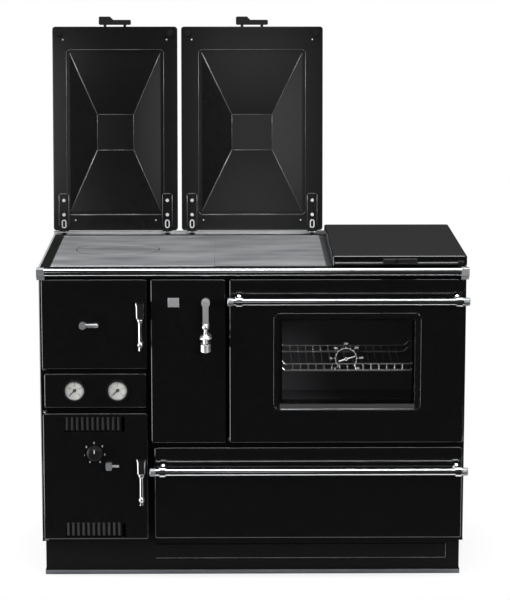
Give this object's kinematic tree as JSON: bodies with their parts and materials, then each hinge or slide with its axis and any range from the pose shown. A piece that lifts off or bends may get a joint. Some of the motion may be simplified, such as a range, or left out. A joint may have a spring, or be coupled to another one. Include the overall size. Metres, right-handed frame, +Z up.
{
  "type": "wood cookstove",
  "caption": "Free-standing wood cookstove with boiler: firebox and ash doors, drop-down oven door, wood drawer, ground steel hob under hinged lids, chrome rails.",
  "frame": {"origin": "on the floor under the middle of the carcass footprint", "axes": "+X to the viewer's right, +Y to the back, +Z up"},
  "size_m": [1.104, 0.715, 1.4229],
  "materials": {
    "black_enamel": "glossy vitreous enamel",
    "black_steel": "satin black painted sheet",
    "chrome": "polished",
    "hob_steel": "ground steel",
    "cast_iron": "matt cast",
    "oven_enamel": "speckled enamel",
    "zinc_steel": "galvanised",
    "wire": "bright wire",
    "glass": "dark oven glass",
    "gauge_glass": "clear",
    "gauge_case": "white dial in a chrome bezel",
    "needle": "black lacquer",
    "needle_light": "white lacquer",
    "black_plastic": "heat-proof moulding",
    "rubber": "moulded"
  },
  "bodies": {
    "carcass": {"plinth": "black_steel", "plinth_cover": "black_enamel", "side_panel_left": "black_enamel", "side_panel_right": "black_enamel", "rear_panel": "black_steel", "front_frame": "black_steel", "hob_frame": "black_steel", "hob_plate_left": "hob_steel", "hob_ring_lid": "hob_steel", "hob_plate_right": "hob_steel", "boiler_body": "black_steel", "flow_return_sockets": "zinc_steel", "fire_grate": "cast_iron", "ash_pan": "zinc_steel", "flue_spigot": "black_steel", "oven_box": "oven_enamel", "oven_rack": "wire", "middle_panel": "black_enamel", "gauge_panel": "black_enamel", "gauge_cases": "gauge_case", "gauge_glasses": "gauge_glass", "door_hinge_lugs": "zinc_steel", "drawer_runners": "zinc_steel", "top_rail": "chrome", "lid_hinge_posts": "zinc_steel"},
    "firebox_door": {"firebox_door_panel": "black_enamel", "firebox_door_inner": "cast_iron"},
    "firebox_latch": {"firebox_latch": "chrome"},
    "firebox_air_lever": {"firebox_air_lever": "chrome"},
    "ash_door": {"ash_door_panel": "black_enamel"},
    "ash_latch": {"ash_latch": "chrome"},
    "thermostat_knob": {"thermostat_knob": "black_plastic"},
    "ash_air_lever": {"ash_air_lever": "chrome"},
    "oven_door": {"oven_door_panel": "black_enamel", "oven_door_inner": "oven_enamel", "oven_glass": "glass", "oven_handle": "chrome"},
    "thermometer_needle": {"thermometer_needle": "needle_light"},
    "drawer": {"drawer_front": "black_enamel", "drawer_box": "zinc_steel", "drawer_handle": "chrome"},
    "damper": {"damper_flap": "cast_iron", "damper_lever": "chrome"},
    "temperature_needle": {"temperature_needle": "needle"},
    "pressure_needle": {"pressure_needle": "needle"},
    "lid_left": {"lid_left_shell": "black_enamel", "lid_left_liner": "black_enamel", "lid_left_hinge_leaves": "black_steel", "lid_left_buffers": "rubber", "lid_left_handle": "black_plastic"},
    "lid_middle": {"lid_middle_shell": "black_enamel", "lid_middle_liner": "black_enamel", "lid_middle_hinge_leaves": "black_steel", "lid_middle_buffers": "rubber", "lid_middle_handle": "black_plastic"},
    "lid_right": {"lid_right_shell": "black_enamel", "lid_right_liner": "black_enamel", "lid_right_hinge_leaves": "black_steel", "lid_right_buffers": "rubber", "lid_right_handle": "black_plastic"}
  },
  "joints": [
    {"name": "firebox_door_hinge", "type": "hinge", "parent": "carcass", "child": "firebox_door", "pos_m": [-0.538, -0.285, 0.674], "axis": [0, 0, -1], "range_deg": [0, 100]},
    {"name": "firebox_latch_turn", "type": "hinge", "parent": "firebox_door", "child": "firebox_latch", "pos_m": [-0.289, -0.3, 0.709], "axis": [0, 1, 0], "range_deg": [0, 45]},
    {"name": "firebox_air_turn", "type": "hinge", "parent": "firebox_door", "child": "firebox_air_lever", "pos_m": [-0.437, -0.3, 0.672], "axis": [0, 1, 0], "range_deg": [0, 90]},
    {"name": "ash_door_hinge", "type": "hinge", "parent": "carcass", "child": "ash_door", "pos_m": [-0.538, -0.285, 0.272], "axis": [0, 0, -1], "range_deg": [0, 100]},
    {"name": "ash_latch_turn", "type": "hinge", "parent": "ash_door", "child": "ash_latch", "pos_m": [-0.289, -0.3, 0.299], "axis": [0, 1, 0], "range_deg": [0, 45]},
    {"name": "thermostat_turn", "type": "hinge", "parent": "ash_door", "child": "thermostat_knob", "pos_m": [-0.41, -0.3, 0.335], "axis": [0, 1, 0], "range_deg": [-135, 135]},
    {"name": "ash_air_turn", "type": "hinge", "parent": "ash_door", "child": "ash_air_lever", "pos_m": [-0.373, -0.3, 0.301], "axis": [0, 1, 0], "range_deg": [-25, 25]},
    {"name": "oven_door_hinge", "type": "hinge", "parent": "carcass", "child": "oven_door", "pos_m": [0.2415, -0.285, 0.368], "axis": [1, 0, 0], "range_deg": [0, 90]},
    {"name": "thermometer_turn", "type": "hinge", "parent": "oven_door", "child": "thermometer_needle", "pos_m": [0.241, -0.286, 0.58], "axis": [0, 1, 0], "range_deg": [-200, 40]},
    {"name": "drawer_slide", "type": "slide", "parent": "carcass", "child": "drawer", "axis": [0, -1, 0], "range_m": [0, 0.28]},
    {"name": "damper_turn", "type": "hinge", "parent": "carcass", "child": "damper", "pos_m": [-0.121, -0.3, 0.731], "axis": [0, 1, 0], "range_deg": [0, 60]},
    {"name": "temperature_needle_turn", "type": "hinge", "parent": "carcass", "child": "temperature_needle", "pos_m": [-0.46, -0.296, 0.5], "axis": [0, 1, 0], "range_deg": [0, 270]},
    {"name": "pressure_needle_turn", "type": "hinge", "parent": "carcass", "child": "pressure_needle", "pos_m": [-0.349, -0.296, 0.5], "axis": [0, 1, 0], "range_deg": [0, 270]},
    {"name": "lid_left_hinge", "type": "hinge", "parent": "carcass", "child": "lid_left", "pos_m": [-0.377, 0.281, 0.825], "axis": [-1, 0, 0], "range_deg": [-95, 0]},
    {"name": "lid_middle_hinge", "type": "hinge", "parent": "carcass", "child": "lid_middle", "pos_m": [0.0035, 0.281, 0.825], "axis": [-1, 0, 0], "range_deg": [-95, 0]},
    {"name": "lid_right_hinge", "type": "hinge", "parent": "carcass", "child": "lid_right", "pos_m": [0.377, 0.281, 0.825], "axis": [-1, 0, 0], "range_deg": [0, 95]}
  ]
}
